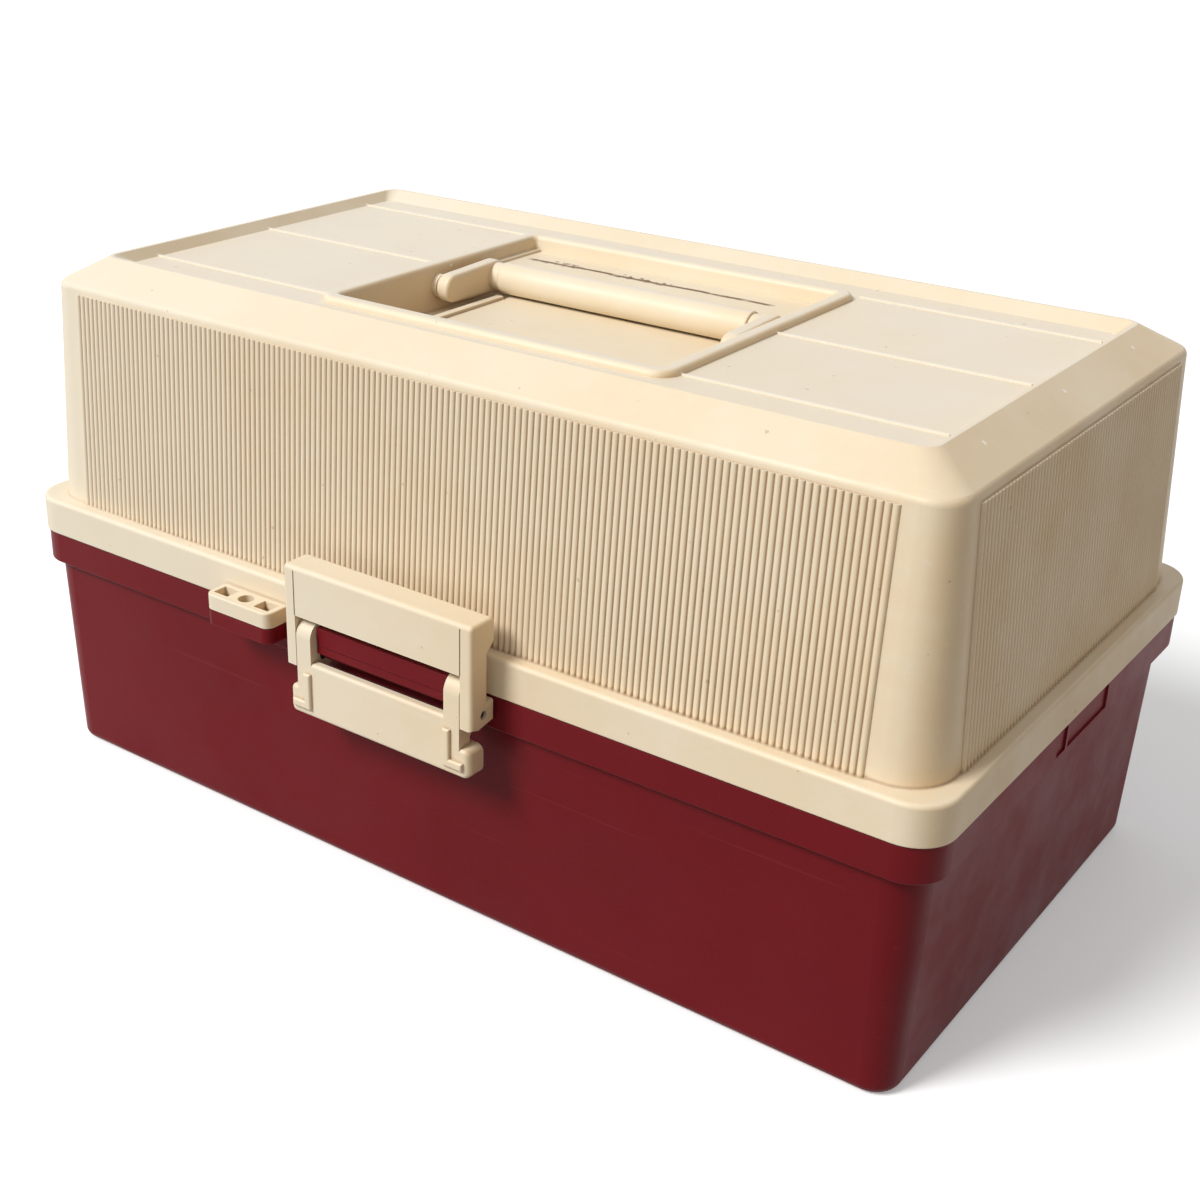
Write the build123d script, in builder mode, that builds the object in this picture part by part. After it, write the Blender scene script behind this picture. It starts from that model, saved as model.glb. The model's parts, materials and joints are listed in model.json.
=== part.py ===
"""Three-tray tackle box: drafted tub, ribbed hinged lid with a folding handle, draw latch
and trays that swing out on parallel arms. Millimetres, +Z up, front towards -Y,
origin at the middle of the underside."""

from build123d import *
from math import atan2, cos, degrees, hypot, radians, sin
import os

os.makedirs("parts", exist_ok=True)

# Plan and heights of the closed box
rim_length = 445.0
rim_depth = 249.0
rim_corner = 16.0
parting_height = 108.3
box_height = 232.0
seam_gap = 0.4
overrun = 1.0
pin_clearance = 0.05

# Tub
tub_floor_inset = 8.5
tub_front_inset = 6.5
tub_draft = 3.0
tub_corner = 11.0
tub_wall = 2.6
tub_floor = 3.0
tub_bottom_round = 4.5
band_height = 14.2
band_inset = 0.8
band_round = 0.8
tongue_height = 3.7
side_notch_length = 51.0
side_notch_place = 8.5
side_notch_depth = 0.9
side_notch_edge = 3.0
side_rib_width = 2.0
side_rib_place = -8.0

# Lid
rim_height = 16.2
rim_wall = 2.6
rim_round = 1.8
rim_foot_round = 0.7
ledge_width = 7.0
lid_wall = 2.4
lid_draft = 5.5
lid_corner = 18.0
bevel_height = 10.3
bevel_width = 17.0
bevel_corner = 7.0
bevel_round = 3.0
crest_width = 1.6
crest_round = 0.6
plateau_depth = 4.0
plateau_side_slope = 4.5
plateau_front_slope = 8.5
plateau_corner = 3.0
plateau_line_inset = 15.9
plateau_line_width = 1.3
plateau_line_height = 0.6

# Ribbed wall panels
rib_pitch = 2.74
rib_rise = 0.95
rib_seat = 0.25
rib_end_margin = 22.5
rib_top_margin = 3.0

# Handle well
well_arm_room = 3.5
well_margin = 17.9
well_place = -5.0
well_corner = 2.0
well_draft = 1.5
well_lip_width = 7.0
well_lip_height = 2.8
lip_round = 2.2
platform_rise = 2.8
platform_inset = 4.0
platform_edge_width = 3.4
platform_edge_height = 1.4
shelf_sink = 4.2
shelf_gap = 3.0
shelf_edge_width = 2.6
shelf_edge_height = 1.0

# Handle
handle_pivot_place = -9.0
handle_grip_place = 20.0
handle_sink = 6.4
handle_arm_width = 7.0
handle_eye_radius = 6.0
handle_tip_radius = 7.0
handle_round = 1.8
grip_length = 125.0
grip_radius = 6.9
grip_floor_gap = 0.7
core_radius = 4.0
collar_radius = 6.1
collar_length = 4.5
collar_gap = 0.3
grip_slot_width = 3.0
grip_round = 0.8
handle_pin_radius = 2.5
handle_pin_depth = 5.5
handle_pin_seat = 1.2
handle_boss_radius = 5.0
handle_side_gap = 0.4

# Hinge
knuckle_radius = 5.0
knuckle_length = 20.0
knuckle_gap = 0.4
knuckle_clearance = 0.5
hinge_pin_radius = 2.0
hinge_end_inset = 82.5

# Draw latch
latch_projection = 14.5
latch_place = -2.0
latch_bar_half_length = 33.2
latch_bar_drop = 2.9
latch_bar_rise = 8.6
latch_bar_front_gap = 3.4
latch_bar_thickness = 6.8
latch_bar_web_drop = 5.0
latch_bar_line_height = 3.6
latch_bar_line_depth = 0.4
lever_side_gap = 0.6
lever_arm_width = 7.4
lever_pivot_rise = 3.7
lever_eye_radius = 6.8
lever_pin_radius = 2.0
lever_bar_gap = 3.4
lever_plate_height = 24.0
lever_plate_thickness = 3.4
lever_plate_round = 1.5
lever_waist_rise = 3.0
lever_waist_depth = 6.5
lever_ear_reach = 4.8
lever_ear_depth = 8.8
lever_ear_height = 12.0
lever_ear_round = 3.0
ridge_width = 3.4
ridge_rise = 1.5
ridge_round = 0.9
ridge_height = 16.0
ridge_margin = 3.4
ridge_foot = 9.6
bail_side_gap = 0.4
bail_cheek_width = 5.6
bail_pin_radius = 2.0
bail_pin_back = 0.6
bail_pin_drop = 8.5
bail_pin_recess = 1.5
bail_rise = 17.5
bail_panel_height = 21.0
bail_panel_thickness = 3.0
bail_nose_gap = 0.35
bail_nose_height = 10.0
bail_nose_thickness = 2.6
bail_notch_depth = 4.2
bail_notch_slope = 4.0
bail_notch_rise = 4.1
bail_heel_drop = 4.5
bail_tip_drop = 1.5
bail_tip_depth = 5.0
bail_round = 1.8
bail_back_round = 2.4
bail_edge_round = 1.8
bail_groove_width = 0.7
bail_groove_depth = 0.4

# Hasp lugs for a small padlock
hasp_center = -79.0
hasp_length = 36.0
hasp_reach = 12.5
hasp_lid_height = 6.7
hasp_tub_height = 6.6
hasp_round = 4.0
hasp_edge_round = 0.8
hasp_hole_radius = 3.5
hasp_pocket_length = 8.0
hasp_pocket_depth = 6.8
hasp_pocket_offset = 11.4
hasp_pocket_floor = 2.6

# Trays
tray_end_room = 26.5
tray_front_room = 20.5
tray_back_room = 54.5
tray_headroom = 19.8
tray_gap = 1.0
tray_lift = 5.5
tray_wall = 2.0
tray_corner = 7.0
tray_row_share = 0.483
tray_row_wall_drop = 3.0
divider_thickness = 1.5
divider_drop = 2.0
divider_slack = 0.3
slot_rib_width = 1.2
slot_rib_rise = 1.2

# Swinging arms and links
arm_angle = 40.0
arm_pivot_drop = 10.8
arm_back_overhang = 5.0
tray_pivot_inset = 11.3
low_pivot_share = 0.492
arm_link_extra = 14.0
arm_width = 12.0
arm_thickness = 2.0
arm_tray_gap = 1.0
link_arm_gap = 1.6
link_width = 11.0
boss_gap = 0.4
boss_radius = 6.5
boss_screw_depth = 5.0
rivet_radius = 1.6
rivet_head_radius = 3.0
rivet_head_length = 0.9
rivet_floor_gap = 0.9
pivot_rivet_radius = 2.0
pivot_rivet_head_radius = 3.8
rivet_slack = 0.1

# Places worked out from the sizes above
rim_half_x = rim_length / 2
rim_half_y = rim_depth / 2
rim_front = -rim_half_y
ledge_height = parting_height + rim_height
tub_half_x = rim_half_x - tub_floor_inset
tub_half_y = rim_half_y - tub_front_inset
tub_top = parting_height - seam_gap
tongue_top = parting_height + tongue_height
lid_half_x = rim_half_x - ledge_width
lid_half_y = rim_half_y - ledge_width
bevel_base = box_height - bevel_height
plateau_height = box_height - plateau_depth
handle_height = plateau_height - handle_sink
handle_arm_inner = grip_length / 2 + collar_length
handle_outer = handle_arm_inner + handle_arm_width
well_drop = handle_sink + grip_radius + grip_floor_gap + platform_rise
well_floor = plateau_height - well_drop
well_x = handle_outer + well_arm_room
shelf_top = plateau_height - shelf_sink
shelf_front = handle_grip_place + grip_radius + shelf_gap
hinge_y = rim_half_y + knuckle_radius + knuckle_clearance
hinge_z = parting_height
hinge_station_spacing = rim_half_x - hinge_end_inset

# Places of the latch
latch_front = rim_front - latch_projection
latch_bar_bottom = parting_height - latch_bar_drop
latch_bar_top = parting_height + latch_bar_rise
lever_pivot_y = latch_front + lever_eye_radius
lever_pivot_height = parting_height + lever_pivot_rise
lever_plate_top = latch_bar_bottom - lever_bar_gap
lever_plate_bottom = lever_plate_top - lever_plate_height
lever_ear_top = lever_plate_bottom + lever_ear_height
lever_waist_height = lever_ear_top + lever_waist_rise
bail_pin_y = lever_pivot_y + bail_pin_back
bail_pin_z = lever_pivot_height - bail_pin_drop
bail_top = ledge_height + bail_rise
bail_panel_bottom = bail_top - bail_panel_height
bail_nose_bottom = bail_top - bail_nose_height
bail_notch_top = bail_nose_bottom - bail_notch_slope
bail_notch_bottom = bail_pin_z + bail_notch_rise
bail_heel_bottom = bail_pin_z - bail_heel_drop
bail_tip_bottom = bail_heel_bottom - bail_tip_drop

# Places of the trays, their arms and links
tray_names = ["lower", "middle", "upper"]
tray_front_cells = [3, 5, 6]
tray_back_cells = [2, 3, 4]
sides = {"left": -1, "right": 1}
arm_pivot_height = parting_height - arm_pivot_drop
tray_lowest = arm_pivot_height + tray_lift
tray_stack = well_floor - lid_wall - tray_headroom - tray_lowest
tray_step = (tray_stack + tray_gap) / len(tray_names)
tray_height = tray_step - tray_gap
tray_row_wall_height = tray_height - tray_wall - tray_row_wall_drop
divider_height = tray_row_wall_height - divider_drop
tray_half_x = rim_half_x - tray_end_room
tray_front = rim_front + tray_front_room
tray_back = rim_half_y - tray_back_room
tray_row_wall_place = tray_front + tray_row_share * (tray_back - tray_front)
arm_inner = tray_half_x + arm_tray_gap
arm_outer = arm_inner + arm_thickness
link_inner = arm_outer + link_arm_gap
link_outer = link_inner + arm_thickness
arm_slope = (-cos(radians(arm_angle)), sin(radians(arm_angle)))
top_pivot_rise = tray_wall + rivet_head_radius + rivet_floor_gap
arm_first_reach = (tray_lift + low_pivot_share * tray_height) / arm_slope[1]
top_reach = (tray_lift + tray_stack - tray_height + top_pivot_rise) / arm_slope[1]
arm_reach_step = (top_reach - arm_first_reach) / (len(tray_names) - 1)
arm_link_reach = top_reach + arm_link_extra
arm_front_pivot = tray_front + tray_pivot_inset - top_reach * arm_slope[0]
arm_back_pivot = tray_back + arm_back_overhang


def latch_x(side, reach):
    """Place across the box at a reach to one side of the latch's middle."""
    return latch_place + side * reach


def arm_point(pivot_y, pivot_z, reach):
    """Place (y, z) on a swinging arm at a distance from its pivot."""
    return pivot_y + reach * arm_slope[0], pivot_z + reach * arm_slope[1]


def tray_pivots(level):
    """The two arm pivots (y, z) on the end wall of a tray."""
    reach = arm_first_reach + level * arm_reach_step
    return [arm_point(y, arm_pivot_height, reach) for y in (arm_front_pivot, arm_back_pivot)]


arm_link_point = arm_point(arm_back_pivot, arm_pivot_height, arm_link_reach)
lid_link_point = arm_point(hinge_y, hinge_z, arm_link_reach)


def tub_inner_half_x(height):
    """Half length of the tub's inside at a height."""
    return tub_half_x + tub_draft * height / tub_top - tub_wall


def lid_inner_half_x(height):
    """Half length of the lid's inside at a height."""
    return lid_half_x - lid_draft * (height - ledge_height) / (bevel_base - ledge_height) - lid_wall


def block(x_span, y_span, z_span, mode=Mode.ADD):
    """Box between two places along each axis."""
    spans = [sorted(span) for span in (x_span, y_span, z_span)]
    with Locations(tuple(sum(span) / 2 for span in spans)):
        Box(*[span[1] - span[0] for span in spans], mode=mode)


def cross_rod(place, radius, x_from, x_to, mode=Mode.ADD):
    """Cylinder along X, centred on a place (y, z)."""
    with BuildSketch(Plane.YZ.offset(min(x_from, x_to))) as circle:
        with Locations(place):
            Circle(radius)
    extrude(circle.sketch, amount=abs(x_to - x_from), mode=mode)


def cross_plate(points, x_from, x_to, mode=Mode.ADD):
    """Plate across X with an outline of (y, z) points."""
    with BuildSketch(Plane.YZ.offset(min(x_from, x_to))) as outline:
        with BuildLine():
            Polyline(*points, close=True)
        make_face()
    extrude(outline.sketch, amount=abs(x_to - x_from), mode=mode)


def cross_strap(ends, width, x_from, x_to):
    """Flat strap across X with round ends, between two places (y, z)."""
    (y_a, z_a), (y_b, z_b) = ends
    with BuildSketch(Plane.YZ.offset(min(x_from, x_to))) as outline:
        with Locations(((y_a + y_b) / 2, (z_a + z_b) / 2)):
            turn = degrees(atan2(z_b - z_a, y_b - y_a))
            SlotCenterToCenter(hypot(y_b - y_a, z_b - z_a), width, rotation=turn)
    extrude(outline.sketch, amount=abs(x_to - x_from))


def cross_hull(place_a, radius_a, place_b, radius_b, x_from, x_to):
    """Plate across X that wraps two discs at places (y, z)."""
    with BuildSketch(Plane.YZ.offset(min(x_from, x_to))) as outline:
        with Locations(place_a):
            Circle(radius_a)
        with Locations(place_b):
            Circle(radius_b)
        make_hull()
    extrude(outline.sketch, amount=abs(x_to - x_from))


def drafted(half_x, half_y, corner, z_low, z_high, inset, mode=Mode.ADD, middle_y=0):
    """Rounded block whose walls lean in by an inset from its foot to its top."""
    with BuildSketch(Plane.XY.offset(z_low)) as outline:
        with Locations((0, middle_y)):
            RectangleRounded(2 * half_x, 2 * half_y, corner)
    lean = degrees(atan2(inset, z_high - z_low))
    extrude(outline.sketch, amount=z_high - z_low, taper=lean, mode=mode)


def frustum(foot, top, mode=Mode.ADD):
    """Straight loft between two rounded rectangles (half_x, half_y, corner, z)."""
    outlines = []
    for half_x, half_y, corner, z in (foot, top):
        with BuildSketch(Plane.XY.offset(z)) as outline:
            RectangleRounded(2 * half_x, 2 * half_y, corner)
        outlines.append(outline.sketch)
    loft(outlines, ruled=True, mode=mode)


def rib_panel(half_length, half_reach, turn):
    """Row of upright half-round ribs on one drafted lid wall, turned about Z."""
    count = int(2 * half_length / rib_pitch)
    start = -count * rib_pitch / 2
    height = bevel_base - rib_top_margin - ledge_height
    lean = lid_draft / (bevel_base - ledge_height)
    wall = Plane.XY.offset(ledge_height).rotated((0, 0, turn))
    with BuildSketch(wall) as outline:
        with BuildLine():
            seat = -half_reach - rib_seat
            inside = -half_reach + lid_wall / 2
            for number in range(count):
                left = start + number * rib_pitch
                ThreePointArc(
                    (left, seat),
                    (left + rib_pitch / 2, seat - rib_rise),
                    (left + rib_pitch, seat),
                )
            Polyline((-start, seat), (-start, inside), (start, inside), (start, seat))
        make_face()
    leaning = wall.from_local_coords(Vector(0, lean, 1)) - wall.origin
    slope_length = height * hypot(1, lean)
    extrude(outline.sketch, amount=slope_length, dir=leaning)


def knuckles(centers):
    """Hinge barrels around the hinge line."""
    for center in centers:
        x_from = center - knuckle_length / 2
        cross_rod((hinge_y, hinge_z), knuckle_radius, x_from, x_from + knuckle_length)


def outside(edge, half_x, half_y, margin):
    """Whether an edge lies beyond a centred rectangle in plan."""
    middle = edge.center()
    return abs(middle.X) > half_x + margin or abs(middle.Y) > half_y + margin


def finish(builder, name):
    """Names a finished piece and writes it."""
    builder.part.label = name
    export_step(builder.part, f"parts/{name}.step")


knuckle_step = knuckle_length + knuckle_gap
hinge_stations = [-hinge_station_spacing, 0, hinge_station_spacing]
lid_knuckles = [station + side * knuckle_step for station in hinge_stations for side in (-1, 1)]
hinge_end = hinge_station_spacing + knuckle_step + knuckle_length / 2

# Tub: drafted shell with a thick band under the lid rim
with BuildPart() as tub:
    rise = tub_draft * tongue_top / tub_top
    drafted(tub_half_x, tub_half_y, tub_corner, 0, tongue_top, -rise)
    fillet(tub.edges().group_by(Axis.Z)[0], tub_bottom_round)
    band_half_x = rim_half_x - band_inset
    band_half_y = rim_half_y - band_inset
    with BuildSketch(Plane.XY.offset(tub_top - band_height)) as band:
        RectangleRounded(2 * band_half_x, 2 * band_half_y, rim_corner - band_inset)
    extrude(band.sketch, amount=band_height)
    band_edges = tub.edges().filter_by_position(
        Axis.Z, tub_top - band_height - overrun / 2, tub_top - band_height + overrun / 2
    )
    fillet(band_edges.filter_by(lambda edge: outside(edge, tub_half_x, tub_half_y, tub_draft)), band_round)
    # Keeper bar that carries the latch
    bar_front = latch_front + latch_bar_front_gap
    bar_ends = (latch_x(-1, latch_bar_half_length), latch_x(1, latch_bar_half_length))
    bar_middle = bar_front + latch_bar_thickness / 2
    block(bar_ends, (bar_middle, -tub_half_y), (tub_top - latch_bar_web_drop, tub_top))
    block(bar_ends, (bar_front, bar_front + latch_bar_thickness), (latch_bar_bottom, latch_bar_top))
    fillet(tub.edges().filter_by(Axis.X).group_by(Axis.Y)[0], band_round)
    line_low = latch_bar_bottom + latch_bar_line_height
    block(
        bar_ends,
        (bar_front - overrun, bar_front + latch_bar_line_depth),
        (line_low, line_low + latch_bar_line_depth),
        Mode.SUBTRACT,
    )
    # Hasp lug
    with BuildSketch(Plane.XY.offset(tub_top - hasp_tub_height)) as lug:
        with Locations((hasp_center, rim_front - hasp_reach / 2 + hasp_round)):
            RectangleRounded(hasp_length, hasp_reach + 2 * hasp_round, hasp_round)
    extrude(lug.sketch, amount=hasp_tub_height)
    # Hinge barrels with their webs
    knuckles(hinge_stations)
    for station in hinge_stations:
        block(
            (station - knuckle_length / 2, station + knuckle_length / 2),
            (tub_half_y, hinge_y),
            (hinge_z - knuckle_radius, tub_top),
        )
    # Shallow notches with a small upright rib in the middle of both end bands
    for side in sides.values():
        notch_back = side_notch_place + side_notch_length / 2
        notch_front = side_notch_place - side_notch_length / 2
        notch_face = side * (band_half_x - side_notch_depth)
        notch_low = tub_top - band_height + side_notch_edge
        block(
            (notch_face, side * (band_half_x + overrun)),
            (notch_front, notch_back),
            (notch_low, tub_top + overrun),
            Mode.SUBTRACT,
        )
        block(
            (notch_face - side * side_notch_depth, side * band_half_x),
            (side_rib_place, side_rib_place + side_rib_width),
            (notch_low, tub_top),
        )
    # Inside
    inner_rise = tub_draft * (tongue_top + overrun - tub_floor) / tub_top
    inner_foot = tub_draft * tub_floor / tub_top
    drafted(
        tub_half_x + inner_foot - tub_wall,
        tub_half_y + inner_foot - tub_wall,
        tub_corner - tub_wall,
        tub_floor,
        tongue_top + overrun,
        -inner_rise,
        Mode.SUBTRACT,
    )
    # Bosses that carry the swinging arms
    for side in sides.values():
        for pivot_y in (arm_front_pivot, arm_back_pivot):
            place = (pivot_y, arm_pivot_height)
            boss_foot = side * (tub_inner_half_x(arm_pivot_height) + tub_wall / 2)
            boss_face = side * (arm_outer + boss_gap)
            cross_rod(place, boss_radius, boss_foot, boss_face)
            cross_rod(
                place,
                pivot_rivet_radius + pin_clearance,
                boss_face - side * overrun,
                boss_face + side * (boss_screw_depth + boss_gap),
                Mode.SUBTRACT,
            )
    # Bores
    cross_rod((hinge_y, hinge_z), hinge_pin_radius + pin_clearance, -hinge_end, hinge_end, Mode.SUBTRACT)
    cross_rod(
        (lever_pivot_y, lever_pivot_height),
        lever_pin_radius + pin_clearance,
        latch_x(-1, latch_bar_half_length + overrun),
        latch_x(1, latch_bar_half_length + overrun),
        Mode.SUBTRACT,
    )
    hasp_bore_place = (hasp_center, rim_front - hasp_reach / 2)
    with BuildSketch(Plane.XY.offset(tub_top - hasp_tub_height - overrun)) as bore:
        with Locations(hasp_bore_place):
            Circle(hasp_hole_radius)
    extrude(bore.sketch, amount=hasp_tub_height + 2 * overrun, mode=Mode.SUBTRACT)
finish(tub, "tub")

# Lid: rim, ribbed drafted walls, bevelled top with a sunk plateau and a handle well
with BuildPart() as lid:
    drafted(rim_half_x, rim_half_y, rim_corner, parting_height, ledge_height, 0)
    fillet(lid.edges().group_by(Axis.Z)[-1], rim_round)
    fillet(lid.edges().group_by(Axis.Z)[0], rim_foot_round)
    wall_foot = ledge_height - rim_wall
    lean_share = lid_draft / (bevel_base - ledge_height)
    foot_spread = lean_share * rim_wall
    drafted(
        lid_half_x + foot_spread,
        lid_half_y + foot_spread,
        lid_corner + foot_spread,
        wall_foot,
        bevel_base,
        lid_draft + foot_spread,
    )
    wall_top_x = lid_half_x - lid_draft
    wall_top_y = lid_half_y - lid_draft
    wall_top_corner = lid_corner - lid_draft
    crest_x = wall_top_x - bevel_width
    crest_y = wall_top_y - bevel_width
    frustum(
        (wall_top_x, wall_top_y, wall_top_corner, bevel_base),
        (crest_x, crest_y, bevel_corner, box_height),
    )
    bevel_edges = lid.edges().filter_by_position(
        Axis.Z, bevel_base - crest_round, bevel_base + crest_round
    )
    fillet(bevel_edges, bevel_round)
    # Hasp lug
    with BuildSketch(Plane.XY.offset(parting_height)) as lug:
        with Locations((hasp_center, rim_front - hasp_reach / 2 + hasp_round)):
            RectangleRounded(hasp_length, hasp_reach + 2 * hasp_round, hasp_round)
    extrude(lug.sketch, amount=hasp_lid_height)
    lug_top = parting_height + hasp_lid_height
    lug_edges = lid.edges().filter_by_position(Axis.Z, lug_top - overrun / 2, lug_top + overrun / 2)
    fillet(lug_edges.filter_by(lambda edge: edge.center().Y < rim_front), hasp_edge_round)
    # Inside: rim, drafted walls and bevel at one wall thickness
    rim_cavity_x = rim_half_x - rim_wall
    rim_cavity_y = rim_half_y - rim_wall
    drafted(
        rim_cavity_x,
        rim_cavity_y,
        rim_corner - rim_wall,
        parting_height - overrun,
        wall_foot,
        0,
        Mode.SUBTRACT,
    )
    bevel_slope_share = bevel_width / bevel_height
    bevel_slant = hypot(bevel_width, bevel_height)
    ceiling = plateau_height - lid_wall
    inner_bevel_base = bevel_base - lid_wall * (bevel_slant - bevel_height) / bevel_width
    inner_top_inset = lid_wall - lean_share * (bevel_base - inner_bevel_base)
    ceiling_inset = (ceiling - bevel_base) * bevel_slope_share + lid_wall * bevel_slant / bevel_height
    foot_low = wall_foot - overrun
    foot_out = lean_share * (ledge_height - foot_low) - lid_wall
    drafted(
        lid_half_x + foot_out,
        lid_half_y + foot_out,
        lid_corner + foot_out,
        foot_low,
        inner_bevel_base,
        lean_share * (inner_bevel_base - foot_low),
        Mode.SUBTRACT,
    )
    frustum(
        (
            wall_top_x - inner_top_inset,
            wall_top_y - inner_top_inset,
            wall_top_corner - inner_top_inset,
            inner_bevel_base,
        ),
        (wall_top_x - ceiling_inset, wall_top_y - ceiling_inset, bevel_corner, ceiling),
        Mode.SUBTRACT,
    )
    # Sunk plateau on top
    plateau_x = crest_x - crest_width - plateau_side_slope
    plateau_y = crest_y - crest_width - plateau_front_slope
    frustum(
        (plateau_x, plateau_y, plateau_corner, plateau_height),
        (crest_x - crest_width, crest_y - crest_width, bevel_corner - crest_width, box_height),
        Mode.SUBTRACT,
    )
    fillet(lid.edges().group_by(Axis.Z)[-1], crest_round)
    # Handle well: a raised lip, a shallow shelf at the back and a deep pocket in front of it
    well_y = plateau_y - well_margin
    well_front = well_place - well_y
    well_back = well_place + well_y
    lip_x = well_x + well_lip_width
    lip_y = well_y + well_lip_width
    lip_top = plateau_height + well_lip_height
    lip_corner = well_corner + well_lip_width
    drafted(lip_x, lip_y, lip_corner, ceiling, lip_top, 0, middle_y=well_place)
    well_walls = (-well_x - lid_wall, well_x + lid_wall)
    pocket_walls = (well_front - lid_wall, shelf_front + lid_wall)
    block(well_walls, pocket_walls, (well_floor - lid_wall, plateau_height))
    block(well_walls, (shelf_front, well_back + lid_wall), (shelf_top - lid_wall, plateau_height))
    shelf_inset = well_draft * (lip_top - shelf_top) / (lip_top - well_floor)
    drafted(
        well_x - shelf_inset,
        well_y - shelf_inset,
        well_corner,
        shelf_top,
        lip_top,
        -shelf_inset,
        Mode.SUBTRACT,
        well_place,
    )
    lip_edges = lid.edges().filter_by_position(Axis.Z, lip_top - lip_round / 2, lip_top + lip_round / 2)
    lip_edges = lip_edges.filter_by(lambda edge: not outside(edge, lip_x, lip_y - well_place, lip_round))
    fillet(lip_edges, lip_round)
    pocket_front = well_front + well_draft
    pocket_back = shelf_front - well_draft + shelf_inset
    drafted(
        well_x - well_draft,
        (pocket_back - pocket_front) / 2,
        well_corner,
        well_floor,
        shelf_top,
        shelf_inset - well_draft,
        Mode.SUBTRACT,
        (pocket_back + pocket_front) / 2,
    )
    platform_top = well_floor + platform_rise
    platform_x = grip_length / 2 - platform_inset
    platform_span = (well_front, shelf_front)
    block((-platform_x, platform_x), platform_span, (well_floor - lid_wall / 2, platform_top))
    for side in sides.values():
        block(
            (side * platform_x, side * (platform_x + platform_edge_width)),
            (well_front, handle_grip_place - grip_radius),
            (well_floor - lid_wall / 2, platform_top + platform_edge_height),
        )
        shelf_end = well_x - shelf_inset
        block(
            (side * (shelf_end - shelf_edge_width), side * (shelf_end + shelf_inset)),
            (shelf_front, well_back),
            (shelf_top - lid_wall / 2, shelf_top + shelf_edge_height),
        )
        # Bosses for the handle pins
        pin_place = (handle_pivot_place, handle_height)
        boss_from = side * (handle_outer + handle_side_gap)
        cross_rod(pin_place, handle_boss_radius, boss_from, side * (well_x + lid_wall / 2))
        cross_rod(
            pin_place,
            handle_pin_radius + pin_clearance,
            side * handle_outer,
            side * (well_x + handle_pin_seat),
            Mode.SUBTRACT,
        )
        # Thin raised lines across the plateau
        line_spacing = plateau_y - plateau_line_inset
        for line_y in (-line_spacing, 0, line_spacing):
            block(
                (side * lip_x, side * plateau_x),
                (line_y - plateau_line_width / 2, line_y + plateau_line_width / 2),
                (plateau_height - lid_wall / 2, plateau_height + plateau_line_height),
            )
        # Bosses for the lid links
        link_boss_foot = side * (lid_inner_half_x(lid_link_point[1]) + lid_wall / 2)
        link_boss_face = side * (link_outer + boss_gap)
        cross_rod(lid_link_point, boss_radius, link_boss_foot, link_boss_face)
        cross_rod(
            lid_link_point,
            pivot_rivet_radius + pin_clearance,
            link_boss_face - side * overrun,
            link_boss_face + side * boss_screw_depth,
            Mode.SUBTRACT,
        )
    # Hinge barrels with their webs
    knuckles(lid_knuckles)
    for center in lid_knuckles:
        block(
            (center - knuckle_length / 2, center + knuckle_length / 2),
            (rim_half_y - rim_wall / 2, hinge_y),
            (hinge_z, hinge_z + knuckle_radius),
        )
    cross_rod(
        (hinge_y, hinge_z),
        hinge_pin_radius + pin_clearance,
        -hinge_end - overrun,
        hinge_end + overrun,
        Mode.SUBTRACT,
    )
    # Hasp bore and pockets
    with BuildSketch(Plane.XY.offset(parting_height - overrun)) as bore:
        with Locations(hasp_bore_place):
            Circle(hasp_hole_radius)
    extrude(bore.sketch, amount=hasp_lid_height + 2 * overrun, mode=Mode.SUBTRACT)
    for side in sides.values():
        pocket_x = hasp_center + side * hasp_pocket_offset
        block(
            (pocket_x - hasp_pocket_length / 2, pocket_x + hasp_pocket_length / 2),
            (hasp_bore_place[1] - hasp_pocket_depth / 2, hasp_bore_place[1] + hasp_pocket_depth / 2),
            (parting_height + hasp_pocket_floor, parting_height + hasp_lid_height + overrun),
            Mode.SUBTRACT,
        )
    # Ribbed panels on the four walls
    rib_panel(lid_half_x - rib_end_margin, lid_half_y, 0)
    rib_panel(lid_half_x - rib_end_margin, lid_half_y, 180)
    rib_panel(lid_half_y - rib_end_margin, lid_half_x, 90)
    rib_panel(lid_half_y - rib_end_margin, lid_half_x, -90)
finish(lid, "lid_shell")

# Hinge pins, one through each group of barrels
with BuildPart() as hinge_pins:
    for station in hinge_stations:
        pin_half = knuckle_step + knuckle_length / 2
        cross_rod((hinge_y, hinge_z), hinge_pin_radius, station - pin_half, station + pin_half)
finish(hinge_pins, "hinge_pins")

# Handle: two arms on a core rod, with a split sleeve as the grip
grip_place = (handle_grip_place, handle_height)
with BuildPart() as handle:
    for side in sides.values():
        cross_hull(
            pin_place,
            handle_eye_radius,
            grip_place,
            handle_tip_radius,
            side * handle_arm_inner,
            side * handle_outer,
        )
    fillet(handle.edges().filter_by(Axis.X, reverse=True), handle_round)
    cross_rod(grip_place, core_radius, -handle_arm_inner - overrun, handle_arm_inner + overrun)
    for side in sides.values():
        collar_from = side * (grip_length / 2 + collar_gap)
        cross_rod(grip_place, collar_radius, collar_from, side * (handle_arm_inner + overrun))
        cross_rod(
            pin_place,
            handle_pin_radius + pin_clearance,
            side * (handle_outer - handle_pin_depth - overrun),
            side * (handle_outer + overrun),
            Mode.SUBTRACT,
        )
finish(handle, "handle_bail")

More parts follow.
